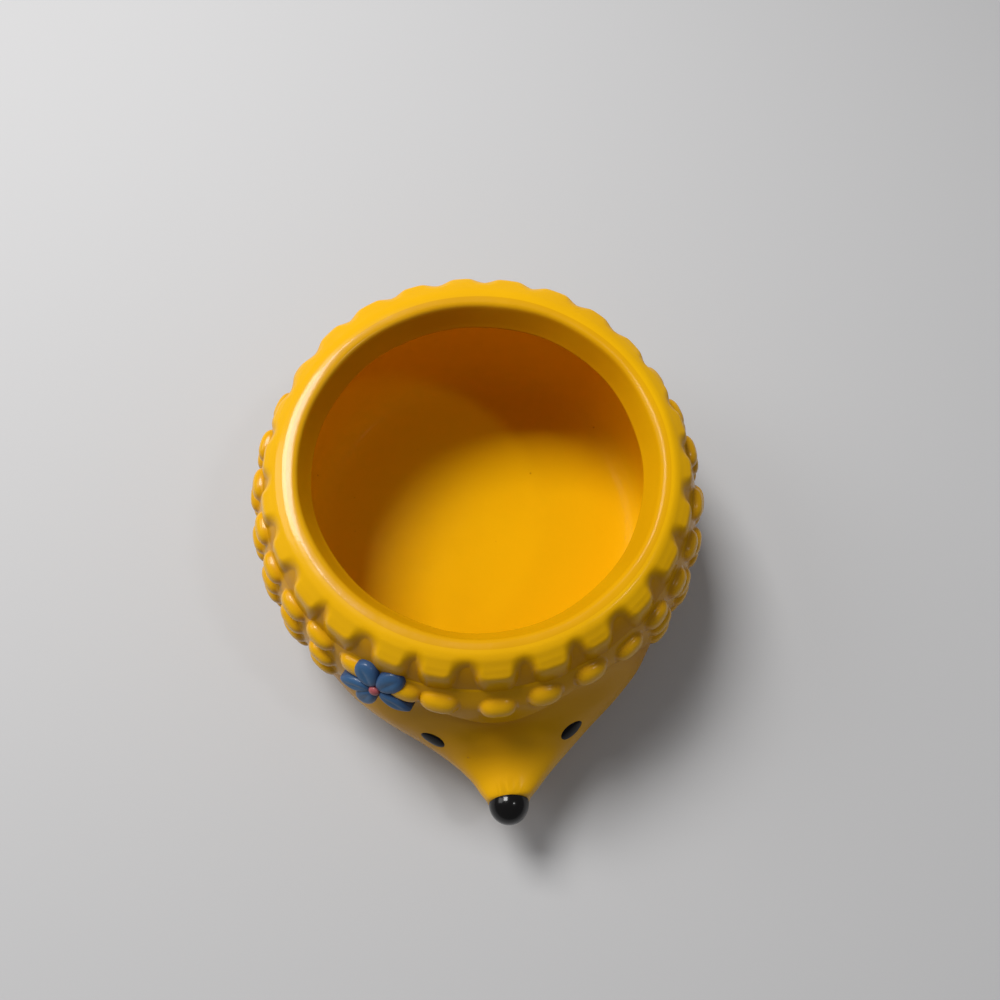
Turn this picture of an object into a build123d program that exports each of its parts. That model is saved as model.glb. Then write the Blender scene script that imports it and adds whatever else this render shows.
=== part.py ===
from build123d import *
import math
import os

# Hedgehog planter: a round glazed pot with a quilled coat, and a smooth snouted face at the front.
# Millimetres. The origin is the centre of the foot on the pot's axis, +Z is up, the snout is at -Y.

# Body: round, with a coat that ends in a cuff above the smooth foot, and a recess for the face
coat_radius = 41.5
waist_height = 19.5
cuff_height = 9.4
hem_step = 0.9
face_thickness = 1.1
belly_height = 4.6
foot_inset = 8.0
foot_height = 1.2
foot_radius = coat_radius - foot_inset

# Hollow
wall_thickness = 3.9
floor_thickness = 5.9
floor_bevel_width = 6.6
floor_bevel_height = 3.2
wall_bands = 3
floor_radius = coat_radius - wall_thickness - floor_bevel_width

# Rim: a lip over a bevelled mouth, with blunt tabs that lap over the coat
lip_height = 41.0
lip_inset = 10.5
lip_rise = 0.6
lip_edge_width = 0.7
lip_crown_width = 1.5
lip_shoulder_width = 1.3
lip_shoulder_drop = 0.5
throat_width = 2.1
throat_drop = 4.2
rim_depth = 6.0
tab_pitch = 8.89
tab_width = 6.3
tab_corner_radius = 1.8
tab_end_inset = 4.7
tab_end_drop = 2.4
tab_overhang = 0.3
gap_root_inset = 6.9
gap_step = 1.3
flats_per_tab = 3
lip_radius = coat_radius - lip_inset
throat_radius = lip_radius - throat_width
shoulder_height = lip_height - rim_depth
tab_end_radius = coat_radius - tab_end_inset
tab_end_height = lip_height - tab_end_drop
tab_count = round(math.tau * tab_end_radius / tab_pitch)
gap_root_radius = coat_radius - gap_root_inset

# The coat's side is an upright ellipse about the waist that meets the rim at the roots of its gaps
gap_root_height = lip_height - gap_step
gap_root_share = gap_root_radius / coat_radius
coat_half_height = (gap_root_height - waist_height) / math.sqrt(1 - gap_root_share**2)

# Quills: rows of oval pebbles round the coat, the long way round the pot, one row to each band of it
quill_rows = 5
quill_pitch = 8.41
quill_length = 6.2
quill_breadth = 4.0
quill_relief = 1.5
quill_edge = 0.7
quill_taper = 12.0
quill_sides = 8
quill_root = 0.6
quill_hem_gap = 0.2
flats_per_quill = 2
quills_per_row = round(math.tau * coat_radius / quill_pitch)
coat_sides = quills_per_row * flats_per_quill

# Opening of the coat over the face: half of its outline, as shares of its half width and height
hem_half_width = 28.6
hem_top_drop = 5.2
hem_shares = ((0, 0.7), (0.26, 0.87), (0.52, 1), (0.78, 0.89), (0.94, 0.57), (1, 0.26), (0.98, 0))
hem_top = shoulder_height - hem_top_drop

# Head: oval sections from inside the pot out to the snout
head_root_inset = 13.5
snout_reach = 13.1
head_side_cover = 2.2
head_height = 25.2
head_floor_gap = 1.4
head_sides = 44
snout_half_width = 3.6
snout_half_height = 3.5
snout_rise = 1.2
snout_pitch = 22.0
# Each section: place along the head, width, rise of its middle and height, as shares of the head's own
section_shares = (
    (0, 1, 0, 0.96),
    (0.23, 0.868, 0, 1),
    (0.437, 0.672, -0.004, 0.945),
    (0.59, 0.518, -0.04, 0.746),
    (0.73, 0.372, -0.024, 0.476),
    (0.875, 0.238, 0.016, 0.333),
)
head_root_y = head_root_inset - coat_radius
snout_y = -coat_radius - snout_reach
head_half_width = hem_half_width + head_side_cover
head_middle_height = head_floor_gap + head_height / 2
snout_height = head_middle_height + snout_rise

# Nose
nose_radius = 3.4
nose_reach = 0.9
nose_bands = 12

# Eyes
eye_length = 4.8
eye_breadth = 3.1
eye_relief = 0.35
eye_edge = 0.15
eye_root = 1.0
eye_x = 12.2
eye_setback = 10.7
eye_turn = 42.0
eye_sides = 16

# Flower: petals about a raised centre, on the coat just above the hem
flower_azimuth = -29.6
flower_rise = 1.2
petal_count = 5
petal_length = 5.4
petal_width = 3.6
petal_relief = 0.9
petal_edge = 0.35
petal_reach = 3.7
petal_root = 2.2
petal_sides = 14
bloom_lift = 1.1
bloom_turn = 54.0
bloom_lean = 8.0
bloom_centre_radius = 1.4
bloom_centre_relief = 0.5
flower_height = hem_top + flower_rise

overrun = 1.0


# Radius of an upright ellipse about the waist, this far inside the coat's surface, at a height
def side_radius(inset, height):
    share = (height - waist_height) / (coat_half_height - inset)
    return (coat_radius - inset) * math.sqrt(1 - share**2)


# Points up the side between two heights, at even steps of the ellipse's own angle
def side_points(inset, bottom, top, bands):
    half_height = coat_half_height - inset
    start = math.asin((bottom - waist_height) / half_height)
    end = math.asin((top - waist_height) / half_height)
    angles = [start + (end - start) * i / bands for i in range(bands + 1)]
    return [((coat_radius - inset) * math.cos(a), waist_height + half_height * math.sin(a)) for a in angles]


# A solid in fine flats between rings of points; where rings differ in shape, each flat is two triangles
def skinned(rings, triangles=False):
    faces = [Face(Wire.make_polygon(rings[0])), Face(Wire.make_polygon(rings[-1]))]
    for low, high in zip(rings, rings[1:]):
        for i in range(len(low)):
            corners = [low[i - 1], low[i], high[i], high[i - 1]]
            flats = [corners[:3], [corners[0]] + corners[2:]] if triangles else [corners]
            faces += [Face(Wire.make_polygon(flat)) for flat in flats]
    return Solid(Shell(faces))


# A round form: rings of radius and height, from the bottom up, joined by straight bands
def turned(points, sides):
    angles = [math.tau * (i + 0.5) / sides - math.tau / 4 for i in range(sides)]
    return skinned([[(r * math.cos(a), r * math.sin(a), z) for a in angles] for r, z in points])


def filled_side(inset, bottom, top, bands):
    return turned(side_points(inset, bottom, top, bands), coat_sides)


# The opening over the face, as a solid from the pot's axis out past the nose
def face_opening():
    right = [(hem_half_width * x, cuff_height + (hem_top - cuff_height) * z) for x, z in hem_shares]
    left = [(-x, z) for x, z in reversed(right)]
    arch = Spline(*(left + right[1:]))
    foot = Polyline(right[-1], (right[-1][0], 0), (left[0][0], 0), left[0])
    outline = make_face(arch.edges() + foot.edges())
    return extrude(Plane.XZ * outline, nose_radius * 2 - snout_y)


# The pot under its coat: a seat for the face above the cuff, the smooth belly and foot below it
def core():
    foot = [(foot_radius - foot_height, 0), (foot_radius, foot_height)]
    belly = side_points(hem_step, belly_height, cuff_height, 1)
    seat = side_points(hem_step + face_thickness, cuff_height, shoulder_height, quill_rows)
    return turned(foot + belly + seat[1:], coat_sides)


def pot_body(coat):
    wall = side_points(wall_thickness, floor_thickness + floor_bevel_height, shoulder_height, wall_bands)
    hollow = turned([(floor_radius, floor_thickness)] + wall, coat_sides)
    return core() + coat - hollow


# Seen from above: a round ring with tongues all round, their ends and the roots between them rounded
def tab_outline():
    reach = side_radius(0, shoulder_height) + overrun
    tongue = Pos(0, -reach / 2) * Rectangle(tab_width, reach)
    tongue = fillet(tongue.vertices().group_by(Axis.Y)[0], tab_corner_radius)
    tongues = [Rot(0, 0, 360 * i / tab_count) * tongue for i in range(tab_count)]
    return Circle(gap_root_radius) + tongues


def rim():
    sides = tab_count * flats_per_tab
    crown_height = lip_height + lip_rise
    edge_radius = lip_radius + lip_edge_width
    crown_radius = edge_radius + lip_crown_width
    crown_edge = (crown_radius + lip_shoulder_width, crown_height - lip_shoulder_drop)
    seat_radius = side_radius(0, shoulder_height)
    inner_radius = side_radius(wall_thickness, shoulder_height)
    throat = (throat_radius, lip_height - throat_drop)
    lapped = turned(
        [
            (seat_radius + tab_overhang, shoulder_height),
            (tab_end_radius, tab_end_height),
            crown_edge,
            (crown_radius, crown_height),
        ],
        sides,
    )
    collar = turned([(seat_radius, shoulder_height), (gap_root_radius, gap_root_height)], sides)
    under = turned([(inner_radius, shoulder_height), throat], sides)
    mouth = turned([throat, (lip_radius, lip_height), (edge_radius, crown_height)], sides)
    tabs = extrude(Pos(0, 0, shoulder_height) * tab_outline(), crown_height)
    return (lapped & tabs) + collar - under - mouth


# A frame on the coat's surface, square to it, with its own Y up the slope
def on_coat(azimuth, height):
    radius = side_radius(0, height)
    lean = math.atan2((height - waist_height) / coat_half_height**2, radius / coat_radius**2)
    return Rot(0, 0, azimuth) * Pos(0, -radius, height) * Rot(90 - math.degrees(lean), 0, 0)


# An oval outline in fine flats
def oval_points(half_length, half_width, sides):
    angles = [math.tau * (i + 0.5) / sides for i in range(sides)]
    return [(half_length * math.cos(a), half_width * math.sin(a)) for a in angles]


def oval(half_length, half_width, sides):
    return Polygon(*oval_points(half_length, half_width, sides), align=None)


# A flat-topped drop of clay with a softened edge, standing on its root
def pebble(outline, relief, root, edge, taper=0.0):
    block = extrude(Pos(0, 0, -root) * outline, root + relief, taper=taper)
    return chamfer(block.faces().sort_by(Axis.Z)[-1].edges(), edge)


# The hem stays bare between the cheeks, and no quill touches it beside the face
def clear_of_face(quill, opening):
    spot = quill.center()
    if spot.Y > 0 or spot.Z > hem_top:
        return True
    return abs(spot.X) > hem_half_width and quill.distance_to(opening) > quill_hem_gap


# One row: the quill at the front is seated on the coat and repeated round it
def quill_row(row, coat, opening):
    half_bands = side_points(0, cuff_height, shoulder_height, quill_rows * 2)
    height = half_bands[-2 - 2 * row][1]
    outline = oval(quill_length / 2, quill_breadth / 2, quill_sides)
    quill = on_coat(0, height) * pebble(outline, quill_relief, quill_root, quill_edge, quill_taper) - coat
    quills = [Rot(0, 0, 360 * i / quills_per_row) * quill for i in range(quills_per_row)]
    return [q for q in quills if clear_of_face(q, opening)]


# The smooth face: a thin patch of the body's own side in the opening, drawn out into the snout
def head(opening):
    rings = []
    for y_share, width_share, drop_share, height_share in section_shares:
        y = head_root_y + (snout_y - head_root_y) * y_share
        middle = head_middle_height + head_height * drop_share
        section = oval_points(head_half_width * width_share, head_height / 2 * height_share, head_sides)
        rings.append([(x, y, middle + z) for x, z in section])
    tip = oval_points(snout_half_width, snout_half_height, head_sides)
    rings.append([snout_tip().from_local_coords((x, z, 0)) for x, z in tip])
    snout = skinned(rings, triangles=True)
    patch = filled_side(hem_step, cuff_height, shoulder_height, quill_rows)
    return ((snout + patch) & opening) - core()


# The snout's end, square to it, with its own Y up
def snout_tip():
    front = Plane(origin=(0, snout_y, snout_height), x_dir=(1, 0, 0), z_dir=(0, -1, 0))
    return front.rotated((-snout_pitch, 0, 0))


def nose(face):
    angles = [math.pi * (i + 0.5) / nose_bands - math.pi / 2 for i in range(nose_bands)]
    ball = turned([(nose_radius * math.cos(a), nose_radius * math.sin(a)) for a in angles], nose_bands * 2)
    return Location(snout_tip()) * Pos(0, 0, nose_reach) * ball - face


# A glossy bead let into the face, its long way running down towards the snout
def eye(face, side):
    upright = Axis((side * eye_x, snout_y + eye_setback, 0), (0, 0, 1))
    spot, normal = face.find_intersection_points(upright)[-1]
    turn = math.radians(eye_turn)
    plane = Plane(origin=spot, x_dir=(math.cos(turn), side * math.sin(turn), 0), z_dir=normal)
    outline = oval(eye_length / 2, eye_breadth / 2, eye_sides)
    return Location(plane) * pebble(outline, eye_relief, eye_root, eye_edge) - face


# A piece pressed onto what lies under it, with the crumbs past a hem or a quill wiped off
def pressed(piece, under):
    return max((piece - under).solids(), key=lambda solid: solid.volume)


# Petals and centre of the flower on the coat, face, rim and quills that lie under them
def flower(body, face, ring, quills):
    place = on_coat(flower_azimuth, flower_height) * Pos(0, 0, bloom_lift) * Rot(-bloom_lean, 0, 0)
    root = bloom_lift + petal_root
    reach = petal_reach + petal_length / 2
    bed = place * Cylinder(reach + overrun, (root + overrun) * 2)
    near = [q for q in quills if (q.center() - place.position).length < reach + quill_length / 2]
    under = [body & bed, face & bed, ring & bed] + near
    outline = oval(petal_length / 2, petal_width / 2, petal_sides)
    petal = Pos(petal_reach, 0, 0) * pebble(outline, petal_relief, root, petal_edge)
    outline = oval(bloom_centre_radius, bloom_centre_radius, petal_sides)
    centre = pressed(place * pebble(outline, petal_relief + bloom_centre_relief, root, petal_edge), under)
    pieces = {"flower_centre": centre}
    for i in range(petal_count):
        turn = bloom_turn + 360 * i / petal_count
        pieces[f"flower_petal_{i + 1}"] = pressed(place * Rot(0, 0, turn) * petal, under + [centre])
    return pieces


os.makedirs("parts", exist_ok=True)
opening = face_opening()
coat = filled_side(0, cuff_height, shoulder_height, quill_rows)
body = pot_body(coat - opening)
face = head(opening)
ring = rim()
nodes = {"pot_body": body, "rim": ring, "head": face, "nose": nose(face)}
nodes["eye_left"] = eye(face, -1)
nodes["eye_right"] = eye(face, 1)
quills = []
for row in range(quill_rows):
    quills_in_row = quill_row(row, coat, opening)
    nodes[f"quill_row_{row + 1}"] = Compound(quills_in_row)
    quills += quills_in_row
nodes |= flower(body, face, ring, quills)
for name, piece in nodes.items():
    export_step(piece, f"parts/{name}.step")
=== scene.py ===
import math

import bmesh
import bpy
import numpy as np
from mathutils import Matrix


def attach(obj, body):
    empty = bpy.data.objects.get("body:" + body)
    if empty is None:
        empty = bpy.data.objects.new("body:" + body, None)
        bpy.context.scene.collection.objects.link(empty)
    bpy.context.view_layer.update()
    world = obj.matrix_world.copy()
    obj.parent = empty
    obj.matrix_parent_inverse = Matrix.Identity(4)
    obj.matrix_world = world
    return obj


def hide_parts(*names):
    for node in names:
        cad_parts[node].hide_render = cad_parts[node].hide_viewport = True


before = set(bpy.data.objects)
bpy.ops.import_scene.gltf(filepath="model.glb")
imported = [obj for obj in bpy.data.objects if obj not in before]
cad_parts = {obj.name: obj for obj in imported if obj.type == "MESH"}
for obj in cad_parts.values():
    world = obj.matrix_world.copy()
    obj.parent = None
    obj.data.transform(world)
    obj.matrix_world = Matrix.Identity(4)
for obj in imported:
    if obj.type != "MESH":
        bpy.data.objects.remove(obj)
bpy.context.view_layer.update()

# Camera: held above and in front of the pot, looking down into its mouth past the snout.
# Its lens is that of a close phone shot, and its place comes from the rim, outline, eyes and nose.
mm = 0.001
sensor = 36.0
frame_pixels = 1000
focal_pixels = 754.6
nearest_seen = 0.005
camera_place = (-3.84, -52.17, 158.01)
camera_turn = (20.916, -1.182, -5.576)
camera = bpy.data.objects.new("camera", bpy.data.cameras.new("camera"))
camera.data.sensor_width = sensor
camera.data.lens = focal_pixels / frame_pixels * sensor
camera.data.clip_start = nearest_seen
camera.location = np.array(camera_place) * mm
camera.rotation_euler = np.radians(camera_turn)
bpy.context.scene.collection.objects.link(camera)
bpy.context.scene.camera = camera

# Yellow glaze: poured thick over the whole casting and fired to a deep gloss.
# Its colour mixes a bright and a dark tone: partly glaze that runs thinly over crests and pools in hollows,
# partly painted light where light falls and painted shade in hollows and shaded places.
# It keeps a few pinholes and specks.
# Scales count features to the metre. Heights are shares of the bump's distance.
cloud_scale = 55.0
unevenness_scale = 160.0
unevenness = 0.08
peel_scale = 420.0
peel_height = 0.4
swell_scale = 130.0
swell_height = 1.6
bump_distance = 0.0002
spot_core = 0.03
spotted_share = 0.05
speck_scale = 190.0
speck_edge = 0.08
speck_strength = 0.85
speck_tint = (0.22, 0.10, 0.04, 1)
pit_scale = 330.0
pit_edge = 0.10
pit_strength = 0.5
pit_tint = (0.45, 0.25, 0.10, 1)
pit_roughness = 0.3
pit_depth = 1.5
coat_roughness = 0.05


def glaze_group():
    """Colour, roughness and normal of a fired glaze: a bright and a dark tone mixed by a share that holds
    both how thinly the glaze runs and the painted shade and light, and by a slow cloud, darkened in
    scattered round specks and pinholes, over a slow swell, a faint orange peel and the pinholes' dents."""
    group = bpy.data.node_groups.new("fired_glaze", "ShaderNodeTree")
    for name, kind, value in (
        ("Thin and lit", "NodeSocketColor", (1, 1, 1, 1)),
        ("Pooled and shaded", "NodeSocketColor", (1, 1, 1, 1)),
        ("Lie and shade", "NodeSocketFloat", 0.5),
        ("Cloud", "NodeSocketFloat", 0.2),
        ("Specks", "NodeSocketFloat", 1.0),
        ("Relief", "NodeSocketFloat", 0.1),
        ("Soften", "NodeSocketFloat", 0.3),
    ):
        socket = group.interface.new_socket(name=name, in_out="INPUT", socket_type=kind)
        socket.default_value = value
    for name, kind in (
        ("Color", "NodeSocketColor"),
        ("Roughness", "NodeSocketFloat"),
        ("Normal", "NodeSocketVector"),
    ):
        group.interface.new_socket(name=name, in_out="OUTPUT", socket_type=kind)
    nodes, links = group.nodes, group.links
    given = nodes.new("NodeGroupInput").outputs
    result = nodes.new("NodeGroupOutput").inputs
    place = nodes.new("ShaderNodeTexCoord").outputs["Object"]

    def fill(socket, value):
        """Joins a socket to another one, or sets it to a plain value."""
        if hasattr(value, "is_linked"):
            links.new(value, socket)
        else:
            socket.default_value = value

    def noise(scale, detail):
        node = nodes.new("ShaderNodeTexNoise")
        node.inputs["Scale"].default_value = scale
        node.inputs["Detail"].default_value = detail
        links.new(place, node.inputs["Vector"])
        return node.outputs["Fac"]

    def maths(operation, *values):
        """One step of arithmetic on plain values and on other nodes' sockets."""
        node = nodes.new("ShaderNodeMath")
        node.operation = operation
        for socket, value in zip(node.inputs, values):
            fill(socket, value)
        return node.outputs[0]

    def spots(scale, edge):
        """A mask of round spots: near the middle of a cell, and only in the share of cells that is kept."""
        cells = nodes.new("ShaderNodeTexVoronoi")
        cells.inputs["Scale"].default_value = scale
        links.new(place, cells.inputs["Vector"])
        fade = nodes.new("ShaderNodeMapRange")
        fade.interpolation_type = "SMOOTHSTEP"
        fade.inputs["From Min"].default_value = edge
        fade.inputs["From Max"].default_value = spot_core
        links.new(cells.outputs["Distance"], fade.inputs["Value"])
        split = nodes.new("ShaderNodeSeparateColor")
        links.new(cells.outputs["Color"], split.inputs[0])
        kept = maths("LESS_THAN", split.outputs[0], spotted_share)
        return maths("MULTIPLY", fade.outputs[0], kept)

    def mixed(kind, amount, first, second):
        """Two colours put together in a blend mode, by an amount from 0 to 1."""
        node = nodes.new("ShaderNodeMix")
        node.data_type = "RGBA"
        node.blend_type = kind
        factor, colour_a, colour_b = node.inputs[0], node.inputs[6], node.inputs[7]
        for socket, value in ((factor, amount), (colour_a, first), (colour_b, second)):
            fill(socket, value)
        return node.outputs[2]

    cloud = maths("MULTIPLY", maths("SUBTRACT", noise(cloud_scale, 3.0), 0.5), given["Cloud"])
    tone = nodes.new("ShaderNodeClamp")
    links.new(maths("ADD", given["Lie and shade"], cloud), tone.inputs["Value"])
    specks = maths("MULTIPLY", spots(speck_scale, speck_edge), given["Specks"])
    pits = maths("MULTIPLY", spots(pit_scale, pit_edge), given["Specks"])
    colour = mixed("MIX", tone.outputs[0], given["Pooled and shaded"], given["Thin and lit"])
    colour = mixed("MULTIPLY", maths("MULTIPLY", specks, speck_strength), colour, speck_tint)
    colour = mixed("MULTIPLY", maths("MULTIPLY", pits, pit_strength), colour, pit_tint)
    links.new(colour, result["Color"])
    rough = maths("MULTIPLY_ADD", noise(unevenness_scale, 2.0), unevenness, given["Soften"])
    links.new(maths("ADD", rough, maths("MULTIPLY", pits, pit_roughness)), result["Roughness"])
    peel = maths("MULTIPLY", noise(peel_scale, 2.0), peel_height)
    level = maths("ADD", peel, maths("MULTIPLY", noise(swell_scale, 1.0), swell_height))
    bump = nodes.new("ShaderNodeBump")
    bump.inputs["Distance"].default_value = bump_distance
    links.new(maths("SUBTRACT", level, maths("MULTIPLY", pits, pit_depth)), bump.inputs["Height"])
    links.new(given["Relief"], bump.inputs["Strength"])
    links.new(bump.outputs[0], result["Normal"])
    return group


def glaze(slot, thin_and_lit, shade_tone, cloud, specks, relief, soften, mirror, coat):
    """A material from the glaze group, with the piece's own attributes: one share for how thinly the glaze
    runs together with the painted shade and light, and 'wet' for how much of its mirror it keeps."""
    material = bpy.data.materials.new(f"fired_{slot}")
    material.use_nodes = True
    nodes, links = material.node_tree.nodes, material.node_tree.links
    shader = nodes["Principled BSDF"]
    fired = nodes.new("ShaderNodeGroup")
    fired.node_tree = fired_glaze
    lie_and_shade = nodes.new("ShaderNodeAttribute")
    lie_and_shade.attribute_name = "lie_and_shade"
    links.new(lie_and_shade.outputs["Fac"], fired.inputs["Lie and shade"])
    for socket, value in (
        ("Thin and lit", (*thin_and_lit, 1)),
        ("Pooled and shaded", (*shade_tone, 1)),
        ("Cloud", cloud),
        ("Specks", specks),
        ("Relief", relief),
        ("Soften", soften),
    ):
        fired.inputs[socket].default_value = value
    links.new(fired.outputs["Color"], shader.inputs["Base Color"])
    links.new(fired.outputs["Roughness"], shader.inputs["Roughness"])
    links.new(fired.outputs["Normal"], shader.inputs["Normal"])
    wet = nodes.new("ShaderNodeAttribute")
    wet.attribute_name = "wet"
    for socket, value in (("Specular IOR Level", mirror), ("Coat Weight", coat)):
        share = nodes.new("ShaderNodeMath")
        share.operation = "MULTIPLY"
        share.inputs[1].default_value = value
        links.new(wet.outputs["Fac"], share.inputs[0])
        links.new(share.outputs[0], shader.inputs[socket])
    shader.inputs["Coat Roughness"].default_value = coat_roughness


fired_glaze = glaze_group()
glaze(
    "yellow_glaze",
    thin_and_lit=(0.77, 0.405, 0.002),
    shade_tone=(0.48, 0.195, 0.001),
    cloud=0.45,
    specks=1.0,
    relief=0.4,
    soften=0.21,
    mirror=0.16,
    coat=0.12,
)

# Body: a round slip-cast wall and floor with a flat foot, and a coat over it that ends in a cuff.
# The coat is cut away over the face in a rolled hem with a peak between two arches.
coat_radius = 41.5
waist_height = 19.5
coat_half_height = 36.59
shoulder_height = 35.0
cuff_height = 9.4
belly_height = 4.6
foot_radius = 33.5
foot_flat = foot_radius - 2.4
wall_thickness = 3.9
floor_height = 5.9
floor_flat = 26
rump_swell = 1.5
hood_swell = 1.1
hem_step = 0.9
hem_roll = 0.95
hem_depth = 1.75
hem_steepness = 6
hem_half_width = 28.6
hem_top = 29.8
hem_shares = ((0, 0.7), (0.26, 0.87), (0.52, 1), (0.78, 0.89), (0.94, 0.57), (1, 0.26), (0.98, 0))
far_from_hem = 50.0
body_columns = 590
merge_distance = 1e-7


def ramp(value, start, end):
    """0 up to the start, 1 from the end on and an even slope between; the start may be the larger one."""
    return np.clip((value - start) / (end - start), 0, 1)


def soft_step(share):
    """A share from 0 to 1 with both its ends eased: three times its square less twice its cube."""
    return share * share * (3 - 2 * share)


def gathered(reach, count, share, endpoint=True):
    """Angles from one side to the other that lie closer together in the middle: an even spread and its
    cube, mixed by a share."""
    spread = np.linspace(-1, 1, count, endpoint=endpoint)
    return reach * (share * spread**3 + (1 - share) * spread)


def side_radius(inset, height):
    """Radius of the upright ellipse about the waist, a given depth inside the coat, at a height."""
    share = (height - waist_height) / (coat_half_height - inset)
    return (coat_radius - inset) * np.sqrt(np.clip(1 - share**2, 0, 1))


def side_line(inset, start, end, count):
    """Radius and height of the side's ellipse at even heights from a start to an end."""
    heights = np.linspace(start, end, count)
    return np.stack([side_radius(inset, heights), heights], axis=1)


def fullness(azimuth, height):
    """How much further out the hand-made coat stands than the turned shape: up to rump_swell at the back
    above the waist, and up to hood_swell over the face, each rising and fading in smooth steps."""
    off_front = np.degrees(np.abs((azimuth + math.pi) % (2 * math.pi) - math.pi))
    rump = soft_step(ramp(off_front, 112, 154)) * soft_step(ramp(height, 21, 34))
    hood_band = soft_step(ramp(height, 36, 31)) * soft_step(ramp(height, 20, 26))
    hood = soft_step(ramp(off_front, 38, 4)) * hood_band
    return rump_swell * rump + hood_swell * hood


def smooth_line(knots, count):
    """Points at even steps along a Catmull-Rom curve through the knots."""
    knots = np.asarray(knots, float)
    ends = np.vstack([2 * knots[0] - knots[1], knots, 2 * knots[-1] - knots[-2]])
    steps = np.linspace(0, len(knots) - 1, count)
    i = np.minimum(steps.astype(int), len(knots) - 2)
    t = (steps - i)[:, None]
    a, b, c, d = ends[i], ends[i + 1], ends[i + 2], ends[i + 3]
    low_terms = 2 * b + (c - a) * t
    return 0.5 * (low_terms + (2 * a - 5 * b + 4 * c - d) * t**2 + (3 * b - a - 3 * c + d) * t**3)


def turned_grid(radius, height, azimuth):
    """Points at a radius and height, turned from the front of the pot by an azimuth towards its right."""
    x, y = radius * np.sin(azimuth), -radius * np.cos(azimuth)
    return np.stack(np.broadcast_arrays(x, y, height), axis=-1)


def waver(azimuth, size):
    """A hand's unevenness round the pot: three waves of 3, 5 and 11 crests, each weaker than the last."""
    slow = np.sin(3 * azimuth + 0.6) + 0.7 * np.sin(5 * azimuth + 2.1)
    return size * (slow + 0.5 * np.sin(11 * azimuth + 4.0))


def joined(name, grids, lies, slot, nodes, wets=None):
    """One piece of closed skins, each a grid of points in millimetres, rows by columns, that wraps round
    its columns. Rows that shrink to a point or fold to a line are merged. One share at each point says how
    thinly the glaze runs together with the painted shade and light, and 'wet' how glossy it is, each from 0
    to 1."""
    points, quads, values, gloss, start = [], [], [], [], 0
    for grid, lie_and_shade, wet in zip(grids, lies, wets or [1.0] * len(grids)):
        rows, columns = grid.shape[:2]
        index = start + np.arange(rows * columns).reshape(rows, columns)
        index = np.hstack([index, index[:, :1]])
        corners = (index[:-1, :-1], index[:-1, 1:], index[1:, 1:], index[1:, :-1])
        quads.append(np.stack([c.ravel() for c in corners], axis=1))
        points.append(grid.reshape(-1, 3))
        values.append(np.broadcast_to(lie_and_shade, (rows, columns)).ravel())
        gloss.append(np.broadcast_to(wet, (rows, columns)).ravel())
        start += rows * columns
    points, quads = np.vstack(points) * mm, np.vstack(quads)
    mesh = bpy.data.meshes.new(name)
    mesh.vertices.add(len(points))
    mesh.vertices.foreach_set("co", points.astype(np.float32).ravel())
    mesh.loops.add(quads.size)
    mesh.loops.foreach_set("vertex_index", quads.astype(np.int32).ravel())
    mesh.polygons.add(len(quads))
    mesh.polygons.foreach_set("loop_start", np.arange(0, quads.size, 4, dtype=np.int32))
    mesh.update(calc_edges=True)
    for attribute, parts in (("lie_and_shade", values), ("wet", gloss)):
        layer = mesh.attributes.new(attribute, "FLOAT", "POINT")
        layer.data.foreach_set("value", np.concatenate(parts).astype(np.float32))
    work = bmesh.new()
    work.from_mesh(mesh)
    bmesh.ops.remove_doubles(work, verts=work.verts, dist=merge_distance)
    work.to_mesh(mesh)
    work.free()
    mesh.polygons.foreach_set("use_smooth", np.ones(len(mesh.polygons), bool))
    mesh.materials.append(bpy.data.materials[f"fired_{slot}"])
    piece = bpy.data.objects.new(name, mesh)
    bpy.context.scene.collection.objects.link(piece)
    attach(piece, "root")
    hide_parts(*nodes)
    return piece


def hem_distance(x, z):
    """Distance in the front view from the hem's line, positive on the coat and negative over the face."""
    below = -40.0
    rise = hem_top - cuff_height
    right = np.array([(hem_half_width * u, cuff_height + rise * v) for u, v in hem_shares])
    line = smooth_line(np.vstack([right[:0:-1] * (-1, 1), right]), 240)
    line = np.vstack([(line[0, 0], below), line, (line[-1, 0], below)])
    points = np.stack([x.ravel(), z.ravel()], axis=1)
    nearest = np.full(len(points), np.inf)
    inside = np.zeros(len(points), bool)
    for a, b in zip(line, np.roll(line, -1, axis=0)):
        along = np.clip(((points - a) @ (b - a)) / ((b - a) @ (b - a)), 0, 1)
        nearest = np.minimum(nearest, np.hypot(*(points - a - along[:, None] * (b - a)).T))
        if a[1] != b[1]:
            crosses = (a[1] > points[:, 1]) != (b[1] > points[:, 1])
            crossing_x = a[0] + (points[:, 1] - a[1]) / (b[1] - a[1]) * (b[0] - a[0])
            inside ^= crosses & (points[:, 0] < crossing_x)
    return np.where(inside, -nearest, nearest).reshape(x.shape)


def rolled(distance, radius, depth):
    """How far a surface lies below its full height beside an edge: a quarter round, then a steep fall."""
    near = np.clip(radius - distance, 0, radius)
    round_over = radius - np.sqrt(radius**2 - near**2)
    return np.clip(round_over + np.clip(-distance, 0, None) * hem_steepness, 0, depth)


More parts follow.
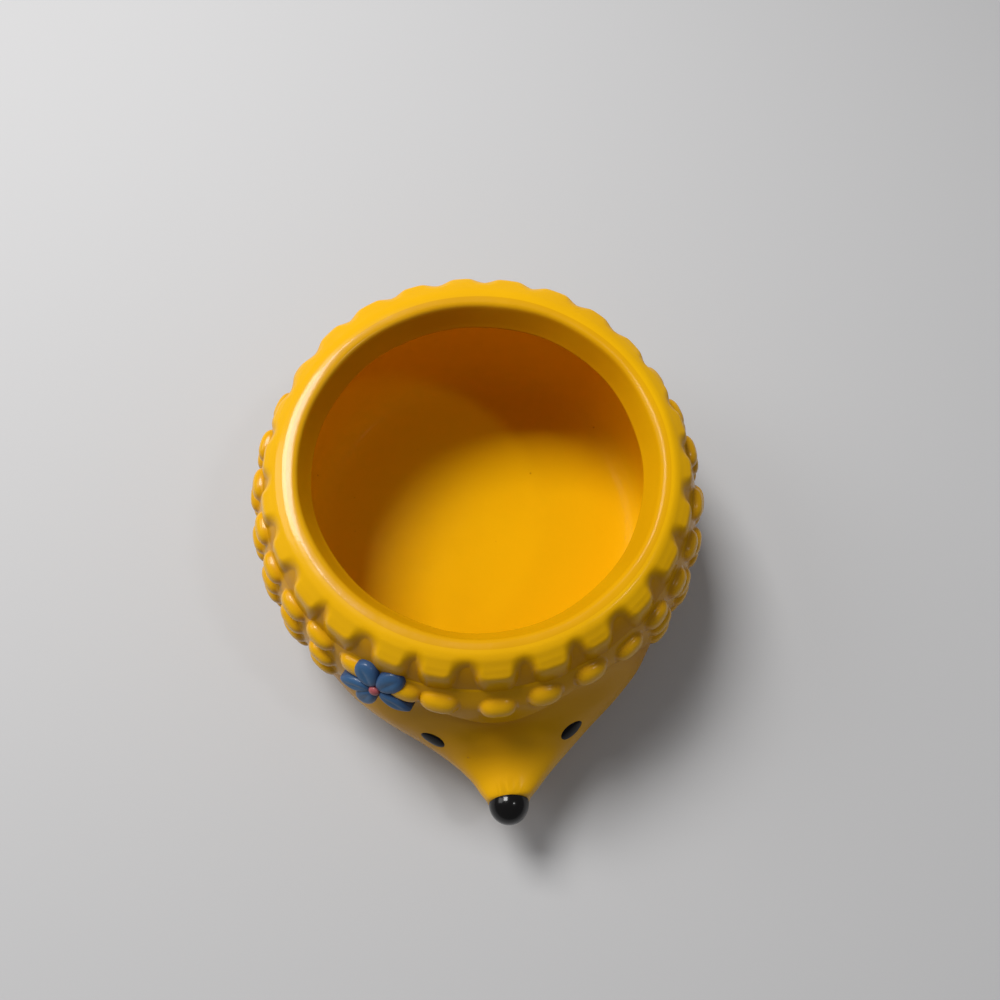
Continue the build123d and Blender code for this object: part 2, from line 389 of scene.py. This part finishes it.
def body_casting():
    """The pot's profile turned about its axis: out under the foot, up the belly and the coat, in under the
    rim, and down the wall to the floor's middle. Beside hem and cuff the coat sinks square to the side,
    and all of it stands out by its fullness. Where the coat sinks it is painted darker, a painted shade.
    The hollow is painted in the bright tone, a painted bounce light over its shaded walls, and its glaze
    keeps almost no mirror."""
    foot = smooth_line([(0, 0.25), (18, 0.2), (foot_flat - 1, 0.05), (foot_flat, 0.0)], 8)
    foot_edge = [(foot_flat, 0), (foot_radius - 0.9, 0.5), (foot_radius + 0.3, 1.9), (35.4, 3.6)]
    foot_edge = smooth_line(foot_edge, 10)[1:]
    belly = side_line(hem_step, belly_height, cuff_height - 0.1, 8)
    coat = side_line(0, cuff_height, shoulder_height - 0.2, 80)
    under_rim = np.array([(36.2, 36.0), (34.4, 36.4), (33.4, 35.6)])
    wall = side_line(wall_thickness, shoulder_height - 0.4, floor_height + 4.6, 18)
    corner = [wall[-1], (34.9, 8.4), (32.6, 6.8), (29.4, 6.1), (floor_flat, floor_height)]
    corner = smooth_line(corner, 12)[1:]
    floor = smooth_line([(floor_flat, floor_height), (18, 5.84), (9, 5.86), (0, 5.95)], 8)[1:]
    profile = np.vstack([foot, foot_edge, belly, coat, under_rim, wall, corner, floor])
    coat_start = len(foot) + len(foot_edge) + len(belly)
    coat_end = coat_start + len(coat)
    hollow_start = coat_end + len(under_rim)
    azimuth = gathered(math.pi, body_columns, 0.55, endpoint=False)
    radius = np.repeat(profile[:, :1], body_columns, axis=1)
    height = np.repeat(profile[:, 1:], body_columns, axis=1)

    on_front = np.cos(azimuth)[None, :] > 0
    to_hem = np.where(on_front, hem_distance(radius * np.sin(azimuth), height), far_from_hem)
    above_cuff = height - cuff_height
    drop = rolled(to_hem, hem_roll, hem_depth)
    cuff_drop = rolled(above_cuff, hem_step, hem_step)
    drop = np.where(above_cuff < hem_step, np.maximum(drop, cuff_drop), drop)
    drop[:coat_start] = 0
    drop[coat_end:] = 0
    slope = np.arctan2((height - waist_height) / coat_half_height**2, radius / coat_radius**2)
    radius = radius - drop * np.cos(slope)
    height = height - drop * np.sin(slope)
    radius[coat_start:coat_end] += fullness(azimuth[None, :], height)[coat_start:coat_end]
    radius[hollow_start:] += waver(azimuth, 0.12) * (radius[hollow_start:] > 5)

    # Painted shade: the coat darkens where it sinks beside hem and cuff. Painted bounce light: the hollow
    # takes the bright tone.
    lie_and_shade = np.full(radius.shape, 0.45)
    lie_and_shade[coat_start:coat_end] = 0.5 - 0.32 * np.clip(drop[coat_start:coat_end], 0, 1)
    lie_and_shade[coat_end:] = 1.0
    wet = np.full(radius.shape, 0.35)
    wet[hollow_start:] = 0.04
    grid = turned_grid(radius, height, azimuth)
    joined("body_casting", [grid], [lie_and_shade], "yellow_glaze", ["pot_body"], [wet])


body_casting()

# Rim: the casting's thick lip, rolled over at the top and bevelled inwards to a crisp throat edge.
# Its outer edge stands out in blunt tongues that lap over the top of the coat, with coat between them.
crown_height = 41.6
throat_radius = 28.9
rim_outer = 38.75
tongue_count = 26
columns_per_tongue = 44
tongue_half_width = 3.2
tongue_corner = 2.1
tongue_reach = 37.95
tongue_edge = 1.55
tongue_bulge = 2.2
tongue_variety = 0.22
gap_root_radius = 34.7
gap_root_round = 1.8
gap_shallowing = 1.6
gap_glaze = 0.25
gap_filling = 0.25
rim_sunk = 0.06
rim_edge_sunk = 0.3
lip_shift = 0.35
lip_narrowing = 0.15
lip_drop = 0.14
# How far each of the front tongues was set round the pot from its even place, in degrees.
tongue_numbers = np.arange(-6, 6)
tongue_shifts = (0.0, 0.2, 0.4, -1.0, 0.0, -1.5, -0.4, -0.1, -0.9, -0.1, 0.6, 0.0)


def blended_min(a, b, reach):
    """The smaller of two values, rounded where they are within reach of each other."""
    share = np.clip(0.5 + 0.5 * (b - a) / reach, 0, 1)
    return b * (1 - share) + a * share - reach * share * (1 - share)


def gap_root(azimuth):
    """How far round towards the back a place is, from 0 to 1, and the radius of the gaps' roots there,
    which grows towards the back."""
    behind = ramp(np.abs(azimuth), math.radians(30), math.radians(125))
    return behind, gap_root_radius + gap_shallowing * soft_step(behind)


def tongue_depth(r, azimuth):
    """How far inside the rim's scalloped outline a point of the plan lies: a ring joined to tongues with
    round corners, each a box about its own centre line, a little different in length and width."""
    pitch = 2 * math.pi / tongue_count
    number = np.round(azimuth / pitch)
    offset = azimuth - number * pitch - np.radians(np.interp(number, tongue_numbers, tongue_shifts))
    width = tongue_half_width + tongue_variety * np.sin(number * 1.7 + 1.0)
    reach = tongue_reach + tongue_variety * np.sin(number * 2.9)
    side = np.abs(r * np.sin(offset)) - (width - tongue_corner)
    end = r * np.cos(offset) - (reach - tongue_corner)
    box = np.hypot(np.clip(side, 0, None), np.clip(end, 0, None)) + np.minimum(np.maximum(side, end), 0)
    root = gap_root(azimuth)[1]
    return -blended_min(box - tongue_corner, r - root, gap_root_round)


def gap_fill(r, azimuth):
    """How full of glaze the gaps between tongues are: a ramp down from their roots to the tongues' ends,
    higher towards the back."""
    behind, root = gap_root(azimuth)
    return ramp(r, tongue_reach, root) * (gap_glaze + gap_filling * behind)


def tongued_rim():
    """One skin that runs up the throat and its bevel, over the crown, out over tongues and gaps, and in
    again underneath. A tongue rounds down to the coat where the outline's depth falls to nothing, and
    in a gap the glaze keeps a share of that rise. The lip lies a little to the right of the axis.
    The bevel's top is painted darker at the back, a painted shade, and the gaps are painted darker than
    the tongues' tops, partly glaze pooling there and partly painted shade."""
    azimuth = np.linspace(-math.pi, math.pi, tongue_count * columns_per_tongue, endpoint=False)
    columns = len(azimuth)
    throat = [(33.0, 35.4), (30.6, 36.3), (29.15, 36.62), (throat_radius, 36.85), (29.1, 37.25)]
    bevel = [(29.1, 37.25), (29.85, 38.9), (30.55, 40.4), (30.9, 41.05), (31.5, 41.45), (32.5, crown_height)]
    inside = np.vstack([smooth_line(throat, 9), smooth_line(bevel, 14)[1:]])
    crest = [(32.5, crown_height), (33.3, 41.5), (34.1, 41.15), (35.0, 40.5)]
    crest += [(35.9, 39.85), (36.8, 39.1), (37.6, 37.7), (38.9, 35.2)]
    plan = np.concatenate([np.linspace(32.6, 34.2, 9), np.linspace(34.25, rim_outer, 46)])
    tongue_top = np.interp(plan, *smooth_line(crest, 200).T)
    coat_top = waist_height + coat_half_height * np.sqrt(1 - (plan / coat_radius) ** 2)
    depth = tongue_depth(plan[:, None], azimuth[None, :])
    filled = gap_fill(plan[:, None], azimuth[None, :])
    raised = 1 - (1 - ramp(depth, -0.1, tongue_edge - 0.1)) ** tongue_bulge
    raised = filled + (1 - filled) * raised
    base = coat_top - rim_sunk - rim_edge_sunk * ramp(plan, 38.2, rim_outer)
    outer = base[:, None] + (tongue_top - base)[:, None] * raised
    tuck = np.array([(37.8, coat_top[-1] - 1.2), (35.6, coat_top[-1] + 0.4), (33.6, 34.6)])
    radius = np.concatenate([inside[:, 0], plan, tuck[:, 0]])[:, None] * np.ones((1, columns))
    height = np.vstack([np.repeat(inside[:, 1:], columns, 1), outer, np.repeat(tuck[:, 1:], columns, 1)])

    radius += soft_step(ramp(radius, 33, 37.5)) * fullness(azimuth[None, :], np.float64(36.0))
    radius += waver(azimuth, 0.1) * ramp(radius, 32.4, 30.4)
    lip_aside = lip_shift * np.sin(azimuth) - lip_narrowing
    radius += lip_aside * ramp(radius, 29.1, 31.1) * ramp(radius, 34, 31.5)
    lip_unevenness = waver(azimuth + 1.0, 0.06) - lip_drop
    height += lip_unevenness * ramp(radius, 30, 32) * ramp(radius, 35.5, 33.5)
    grid = turned_grid(radius, height, azimuth)
    grid = np.vstack([grid, grid[:1]])[::-1]

    # Painted shade: the bevel's top darkens towards the back, and the gaps between tongues are darker than
    # the tongues' tops, partly glaze pooling there.
    shade_tone = ramp(inside[:, 1:], 41.2, 40.4) * np.clip(-1.4 * np.cos(azimuth), 0, 1)
    underneath = np.full((len(tuck) + 1, columns), 0.3)
    lie_and_shade = np.vstack([0.6 - 0.55 * shade_tone, 0.25 + 0.7 * raised**1.5, underneath])
    wet = np.vstack([np.ones((len(inside), columns)), 0.3 + 0.7 * ramp(depth, 0.6, 1.5), underneath])
    wet = wet * (0.8 - 0.45 * np.sin(azimuth))
    joined("tongued_rim", [grid], [lie_and_shade[::-1]], "yellow_glaze", ["rim"], [wet[::-1]])


tongued_rim()

# Head: the smooth face, drawn out of the casting into an upturned snout, with no join to the body.
# It shows in the coat's opening, a step below the hem, and swells down to meet the smooth belly.
head_heart = np.array([0.0, -15.0, 14.0])
section_y = np.array([-28.0, -34.1, -39.6, -43.7, -47.4, -51.3, -53.2, -54.6])
section_half_width = np.array([30.8, 26.7, 20.7, 15.2, 10.7, 6.6, 5.05, 3.8])
section_half_height = np.array([12.1, 12.6, 11.9, 9.4, 6.0, 4.2, 3.85, 3.6])
section_middle = np.array([14.0, 14.0, 13.9, 13.0, 13.4, 14.4, 14.9, 15.2])
section_lean = np.array([0, 0.4, 0.8, 1.29, 1.44, 1.08, 0.72, 0.45])
snout_tip = np.array([0.4, -55.0, 15.3])
snout_pitch = math.radians(22.0)
snout_axis = np.array([0.0, -math.cos(snout_pitch), math.sin(snout_pitch)])
snout_y = -46
face_inset = hem_step + 0.06
chin_height = 1.5
chin_swell = 0.55


def at_section(y, values):
    """A smooth curve through the head's sections: cubic pieces with slopes taken from the neighbours."""
    slopes = np.gradient(values, section_y)
    y = np.clip(y, section_y[-1], section_y[0])
    i = np.clip(np.searchsorted(-section_y, -y) - 1, 0, len(section_y) - 2)
    span = section_y[i + 1] - section_y[i]
    t = (y - section_y[i]) / span
    start = (2 * t**3 - 3 * t**2 + 1) * values[i] + (t**3 - 2 * t**2 + t) * span * slopes[i]
    return start + (3 * t**2 - 2 * t**3) * values[i + 1] + (t**3 - t**2) * span * slopes[i + 1]


def head_level(p):
    """Negative inside the head and positive outside, in about millimetres: the body's own side a step in
    from the coat, joined with a soft fillet to ovals along the snout, cut square at its tip and chin."""
    x, y, z = np.moveaxis(p, -1, 0)
    lower = np.clip(belly_height - z, 0, None)
    side = np.hypot(x, y) - side_radius(face_inset, z) + lower * chin_swell
    sections = (section_half_width, section_half_height, section_middle, section_lean)
    wide, high, middle, lean = (at_section(y, values) for values in sections)
    oval = np.sqrt(((x - lean) / wide) ** 2 + ((z - middle) / high) ** 2)
    snout = (oval - 1) * np.minimum(wide, high) * 0.8
    snout = -blended_min(-snout, -((p - snout_tip) @ snout_axis), 0.6)
    return -blended_min(-blended_min(side, snout, 3.0), z - chin_height, 1.5)


def on_head(direction):
    """The point where a ray from the head's heart leaves the head, found by halving the span 40 times."""
    direction = direction / np.linalg.norm(direction, axis=-1, keepdims=True)
    near = np.full(direction.shape[:-1] + (1,), 5.0)
    far = np.full_like(near, 60.0)
    for _ in range(40):
        middle = (near + far) / 2
        inside = head_level(head_heart + direction * middle)[..., None] < 0
        near, far = np.where(inside, middle, near), np.where(inside, far, middle)
    return head_heart + direction * near


def snouted_face():
    """A front skin where rays from the head's heart leave it, a back skin drawn in towards the pot's axis
    inside the casting, and a folded seam at top and bottom. Beside the hem the face is painted darker, a
    painted shade under the coat's overhang, and along the snout lighter, a painted light, where its glaze
    is also glossy."""
    sweep, rise = np.meshgrid(gathered(math.radians(74), 230, 0.65), gathered(math.radians(42), 160, 0.5))
    rays = np.stack([np.sin(sweep) * np.cos(rise), -np.cos(sweep) * np.cos(rise), np.sin(rise)], axis=2)
    front = on_head(rays)
    reach = np.hypot(front[..., 0], front[..., 1])
    back_height = np.clip(front[..., 2], chin_height + 0.1, None)
    within = side_radius(hem_depth + 0.7, np.clip(back_height, 5.0, None)) - 0.3
    drawn_in = np.minimum(reach - 0.8, within) / reach
    back = np.stack([front[..., 0] * drawn_in, front[..., 1] * drawn_in, back_height], axis=2)
    grid = np.concatenate([front, back[:, ::-1]], axis=1)
    seam = (front[[0, -1]] + back[[0, -1]]) / 2
    seam = np.concatenate([seam, seam[:, ::-1]], axis=1)
    grid = np.vstack([seam[:1], grid, seam[1:]])

    along = front[..., 1]
    to_hem = np.abs(hem_distance(front[..., 0], front[..., 2]))
    # Painted shade beside the hem, under the coat's overhang, and painted light along the snout.
    lie_and_shade = 0.5 - 0.3 * ramp(to_hem, 3.5, 0) * (along > snout_y) + 0.3 * ramp(along, snout_y, snout_y - 6)
    wet = 0.4 + 0.6 * ramp(along, snout_y + 2, snout_y - 3)
    lie_and_shade, wet = (np.concatenate([part, np.full(part.shape, 0.3)], axis=1) for part in (lie_and_shade, wet))
    lie_and_shade, wet = (np.vstack([part[:1], part, part[-1:]]) for part in (lie_and_shade, wet))
    joined("snouted_face", [grid], [lie_and_shade], "yellow_glaze", ["head"], [wet])


snouted_face()

# Nose: a ball pressed onto the snout's end and dipped in black glaze, glossy all over.
# Its centre lies just past the snout's tip.
nose_radius = 3.52
nose_reach = 0.1
glaze(
    "black_glaze",
    thin_and_lit=(0.006, 0.005, 0.005),
    shade_tone=(0.003, 0.003, 0.003),
    cloud=0.3,
    specks=0.0,
    relief=0.3,
    soften=0.16,
    mirror=0.20,
    coat=0.25,
)
latitude = np.linspace(-math.pi / 2, math.pi / 2, 49)
longitude = np.linspace(0, 2 * math.pi, 96, endpoint=False)
latitude, longitude = np.meshgrid(latitude, longitude, indexing="ij")
girth = np.cos(latitude)
ball = np.stack([girth * np.cos(longitude), girth * np.sin(longitude), np.sin(latitude)], axis=2)
nose_centre = snout_tip + snout_axis * nose_reach
joined("nose_bead", [nose_centre + ball * nose_radius], [0.5], "black_glaze", ["nose"])

# Eyes: two small ovals of the same black glaze, each a low bead on the face.
# Each is let in a little, and its long way runs down towards the snout.
eye_half_length = 2.3
eye_half_width = 1.55
eye_relief = 0.32
eye_sunk = 0.04
eye_root = 0.6
eye_gloss = 0.4
eye_turn = math.radians(37.0)
face_heights = np.linspace(14, 30, 400)
normal_step = 0.05


def eye(name, node, side, x, y):
    """Rings of an oval laid on the face and lifted in a quarter-round dome, closed underneath."""
    column = np.stack([np.full_like(face_heights, x), np.full_like(face_heights, y), face_heights], axis=1)
    spot = column[np.abs(head_level(column)).argmin()]
    steps = np.eye(3) * normal_step
    normal = np.array([head_level(spot + step) - head_level(spot - step) for step in steps])
    normal /= np.linalg.norm(normal)
    along = np.array([math.cos(eye_turn), side * math.sin(eye_turn), 0])
    along -= normal * (along @ normal)
    along /= np.linalg.norm(along)
    across = np.cross(normal, along)
    angle = np.linspace(0, 2 * math.pi, 64, endpoint=False)
    ring, angle = np.meshgrid(np.linspace(0, 1, 12), angle, indexing="ij")
    flat = spot + (ring * eye_half_length * np.cos(angle))[..., None] * along
    flat = flat + (ring * eye_half_width * np.sin(angle))[..., None] * across
    laid = on_head(flat - head_heart)
    dome = laid + (eye_relief * np.sqrt(1 - ring**2 * 0.98) - eye_sunk)[..., None] * normal
    grid = np.concatenate([laid - eye_root * normal, dome[::-1]])
    joined(name, [grid], [0.5], "black_glaze", [node], [eye_gloss])


eye("left_eye_bead", "eye_left", -1, -12.0, -43.3)
eye("right_eye_bead", "eye_right", 1, 12.6, -44.1)

# Quills: oval pebbles of clay pressed on in rows, each a little different, melted into the coat by glaze.
# They stand where the CAD's rows have them, so the face and its hem stay bare.
quill_rows = 5
quills_per_row = 31
quill_half_length = 3.12
quill_half_width = 1.95
quill_relief = 1.45
quill_square = 2 / 2.5
quill_root = 0.8
quill_sunk = 0.03
melt_height = 0.13
melt_start = 0.9
# How near in degrees the CAD's row has to come to a place for a quill to stand there.
same_place = 1.5
chance = np.random.default_rng(7)
# The top row's quills at the front, as the hand that set them shifted each one: degrees round the pot
# and millimetres down the slope.
set_by_hand = {
    -7: (1.1, -0.8),
    -4: (-1.0, -0.4),
    -3: (-1.1, 0),
    -1: (-2.5, 0.5),
    0: (-0.6, 0.9),
    1: (-0.3, 0.1),
    3: (0, 1.3),
    4: (-0.9, 1.0),
    5: (-2.1, 1.0),
    6: (-3.5, 0.8),
    7: (-3.5, 0.8),
}
top_row_sag = 0.2


def on_coat(azimuth, latitude):
    """Point and outward normal of the coat at an azimuth and at the ellipse's own angle."""
    height = waist_height + coat_half_height * np.sin(latitude)
    point = turned_grid(coat_radius * np.cos(latitude) + fullness(azimuth, height), height, azimuth)
    lean = np.arctan2(np.sin(latitude) / coat_half_height, np.cos(latitude) / coat_radius)
    return point, turned_grid(np.cos(lean), np.sin(lean), azimuth)


def places_kept(node):
    """Numbers of the even places round the pot, 0 at the front, where the CAD's row holds a quill."""
    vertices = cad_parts[node].data.vertices
    corners = np.empty(len(vertices) * 3, np.float32)
    vertices.foreach_get("co", corners)
    corners = corners.reshape(-1, 3).astype(float)
    found = np.degrees(np.arctan2(corners[:, 0], -corners[:, 1]))
    numbers = np.arange(quills_per_row) - quills_per_row // 2
    apart = np.abs((found[None, :] - numbers[:, None] * 360 / quills_per_row + 180) % 360 - 180)
    return numbers[apart.min(axis=1) < same_place]


def quill_row(row):
    """Every quill of a row as one mesh: rings of a squared oval, raised in a soft dome whose foot melts
    outwards, each turned, shifted and sized a little by chance."""
    node = f"quill_row_{row + 1}"
    low, high = (math.asin((h - waist_height) / coat_half_height) for h in (cuff_height, shoulder_height))
    latitude = high - (high - low) * (row + 0.5) / quill_rows
    pace = math.hypot(coat_radius * math.sin(latitude), coat_half_height * math.cos(latitude))
    rings = np.array([0, 0.25, 0.47, 0.65, 0.79, 0.89, 0.96, 1.03, 1.13, 1.28])
    ring, angle = np.meshgrid(rings, np.linspace(0, 2 * math.pi, 32, endpoint=False), indexing="ij")
    bulge = np.clip(1 - np.clip(ring, 0, 1) ** 2.8, 0, 1) ** 0.6
    melt = melt_height * ramp(ring, rings[-1], melt_start) ** 2
    squared = [np.sign(f(angle)) * np.abs(f(angle)) ** quill_square for f in (np.cos, np.sin)]
    size = np.array([quill_half_length, quill_half_width, quill_relief])
    # Painted light and shade: each crest takes the bright tone and each foot the dark one, partly glaze
    # pooling at the foot.
    lie_and_shade = np.concatenate([np.full((2, ring.shape[1]), 0.3), (0.42 + 0.5 * bulge)[::-1]])
    grids = []
    for number in places_kept(node):
        length, width, tall = size * chance.uniform(0.94, 1.04, 3)
        tilt, aside, above = chance.normal(0, (0.09, 0.12, 0.1))
        if row == 0:
            degrees_round, mm_down = set_by_hand.get(number, (0, 0))
            aside += math.radians(degrees_round) * coat_radius
            above -= top_row_sag + mm_down
        x, y = ring * length * squared[0], ring * width * squared[1]
        round_pot = x * math.cos(tilt) - y * math.sin(tilt) + aside
        up_slope = x * math.sin(tilt) + y * math.cos(tilt) + above
        azimuth = number * 2 * math.pi / quills_per_row + round_pot / (coat_radius * math.cos(latitude))
        point, normal = on_coat(azimuth, latitude + up_slope / pace)
        dome = point + (np.maximum(bulge, melt) * tall - quill_sunk)[..., None] * normal
        sunk = (point - quill_root * normal)[-1:]
        centre = np.broadcast_to(sunk.mean(axis=1, keepdims=True), sunk.shape)
        grids.append(np.concatenate([centre, sunk, dome[::-1]]))
    joined(f"quills_{row + 1}", grids, [lie_and_shade] * len(grids), "yellow_glaze", [node])


for row in range(quill_rows):
    quill_row(row)

# Flower: five petals and a round centre of clay, laid on the coat at the hem and painted before glazing.
# It leans back, so the lower petals stand out over the hem, and no two petals are quite alike.
flower_azimuth = math.radians(-29.6)
flower_height = 31.0
bloom_lift = 1.1
bloom_lean = math.radians(8.0)
petal_root = 0.7
petal_turns = np.radians([54, 126, 198, 246, 342])
petal_tips = (6.4, 5.7, 6.9, 5.8, 6.9)
petal_half_widths = (2.05, 2.05, 1.55, 1.8, 1.5)
petal_points = (0.05, 0.0, 0.5, 0.1, 0.6)
petal_relief = 0.85
petal_sunk = 1.7
crease_depth = 0.2
crease_half_width = 0.45
heart_radius = 0.95
heart_edge_height = 0.45
heart_relief = 0.6
painted = {"specks": 0.0, "relief": 0.5, "soften": 0.30, "mirror": 0.2, "coat": 0.1}
glaze("blue_glaze", thin_and_lit=(0.045, 0.130, 0.260), shade_tone=(0.030, 0.062, 0.150), cloud=0.9, **painted)
glaze("coral_glaze", thin_and_lit=(0.42, 0.10, 0.11), shade_tone=(0.30, 0.07, 0.08), cloud=0.5, **painted)
flower_latitude = np.arcsin((flower_height - waist_height) / coat_half_height)
flower_spot, out = on_coat(flower_azimuth, flower_latitude)
flower_side = np.array([math.cos(flower_azimuth), math.sin(flower_azimuth), 0])
up = np.cross(out, flower_side)
flower_spot = flower_spot + bloom_lift * out
flower_up = up * math.cos(bloom_lean) - out * math.sin(bloom_lean)
flower_out = up * math.sin(bloom_lean) + out * math.cos(bloom_lean)


def pressed_clay(x, y, z):
    """A point of the flower's own frame, across, up the slope and out, in the pot's frame. The clay drapes
    over the coat: it falls away from the middle with the coat's own curve."""
    z = z - (x**2 / coat_radius + y**2 / coat_half_height) / 2
    return flower_spot + x[..., None] * flower_side + y[..., None] * flower_up + z[..., None] * flower_out


def petal(name, node, turn, tip, half_width, point):
    """A leaf shape from the flower's middle to its tip, more or less pointed, with a flat top whose edge
    is rounded, a crease along its middle, and a foot sunk into what lies under it."""
    rings = np.array([0, 0.2, 0.4, 0.55, 0.68, 0.78, 0.86, 0.92, 0.97, 1.0])
    ring, angle = np.meshgrid(rings, np.linspace(0, 2 * math.pi, 56, endpoint=False), indexing="ij")
    half_length = (tip - petal_root) / 2
    towards = np.cos(angle)
    x = petal_root + half_length * (1 + ring * towards)
    taper = 1 - point * np.clip(towards, 0, 1) ** 2
    y = ring * half_width * np.sin(angle) * taper * (1 + 0.12 * towards)
    crease = crease_depth * np.exp(-((y / crease_half_width) ** 2)) * (1 - ring)
    top = petal_relief * (1 - ring**4) ** 0.5 - crease
    across, upwards = x * math.cos(turn) - y * math.sin(turn), x * math.sin(turn) + y * math.cos(turn)
    below = pressed_clay(across, upwards, 0 * ring - petal_sunk)
    grid = np.concatenate([below, pressed_clay(across, upwards, top)[::-1]])
    # Each petal is painted lighter in the middle and darker towards its edge and foot, partly glaze pooling
    # there and partly painted shade.
    lie_and_shade = np.concatenate([0 * ring + 0.1, (0.15 + 0.65 * (1 - ring**3))[::-1]])
    joined(name, [grid], [lie_and_shade], "blue_glaze", [node])


for number, shape in enumerate(zip(petal_turns, petal_tips, petal_half_widths, petal_points), start=1):
    petal(f"petal_{number}", f"flower_petal_{number}", *shape)
angle = np.linspace(0, 2 * math.pi, 40, endpoint=False)
ring, angle = np.meshgrid(np.linspace(0, 1, 12), angle, indexing="ij")
x, y = heart_radius * ring * np.cos(angle), heart_radius * ring * np.sin(angle)
top = pressed_clay(x, y, heart_edge_height + heart_relief * np.sqrt(1 - ring**2 * 0.999))
under = pressed_clay(x, y, 0 * ring - petal_sunk)
joined("flower_heart", [np.concatenate([under, top[::-1]])], [0.6], "coral_glaze", ["flower_centre"])

# Floor: a plain pale studio table, large enough to hold the pot's shadow in every view.
# It stands in for the towel in the photo.
table_half = 0.5
table_colour = (0.52, 0.52, 0.53, 1)
table_roughness = 0.9
square = [(x * table_half, y * table_half, 0) for x, y in ((-1, -1), (1, -1), (1, 1), (-1, 1))]
mesh = bpy.data.meshes.new("floor")
mesh.from_pydata(square, [], [(0, 1, 2, 3)])
table = bpy.data.objects.new("floor", mesh)
bpy.context.scene.collection.objects.link(table)
paper = bpy.data.materials.new("pale_floor")
paper.use_nodes = True
paper.node_tree.nodes["Principled BSDF"].inputs["Base Color"].default_value = table_colour
paper.node_tree.nodes["Principled BSDF"].inputs["Roughness"].default_value = table_roughness
mesh.materials.append(paper)

# Light: a soft key from the left and behind, a broad dim window at the left, and a small lamp for glints.
# The world is bright to the camera alone, and lights the pot only faintly.
ambient = 0.19
world_colour = (0.80, 0.82, 0.85, 1)
aim = (0, 0, 0.03)


def lamp(name, direction, distance, size, watts, colour):
    """A square area lamp at a distance along a direction from the pot, turned to face it."""
    light = bpy.data.lights.new(name, "AREA")
    light.size = size
    light.energy = watts
    light.color = colour
    obj = bpy.data.objects.new(name, light)
    back = np.array(direction) / np.linalg.norm(direction)
    side = np.cross((0, 1, 0.01), back)
    side /= np.linalg.norm(side)
    turned = Matrix(np.stack([side, np.cross(back, side), back], axis=1).tolist()).to_4x4()
    turned.translation = (back * distance + aim).tolist()
    obj.matrix_world = turned
    bpy.context.scene.collection.objects.link(obj)


lamp("key", (-0.315, 0.415, 0.853), distance=0.6, size=0.22, watts=3.55, colour=(1.0, 0.99, 0.97))
lamp("window", (-0.72, 0.28, 0.58), distance=0.6, size=0.26, watts=0.7, colour=(1.0, 0.99, 0.98))
lamp("glint", (0.48, -0.12, 0.87), distance=0.5, size=0.045, watts=0.17, colour=(1.0, 1.0, 1.0))
world = bpy.data.worlds.new("studio")
world.use_nodes = True
nodes, links = world.node_tree.nodes, world.node_tree.links
seen = nodes.new("ShaderNodeLightPath").outputs["Is Camera Ray"]
strength = nodes.new("ShaderNodeMath")
strength.operation = "MULTIPLY_ADD"
strength.inputs[1].default_value = 1 - ambient
strength.inputs[2].default_value = ambient
links.new(seen, strength.inputs[0])
links.new(strength.outputs[0], nodes["Background"].inputs["Strength"])
nodes["Background"].inputs["Color"].default_value = world_colour
bpy.context.scene.world = world
bpy.context.scene.view_settings.view_transform = "Standard"

bpy.context.view_layer.update()
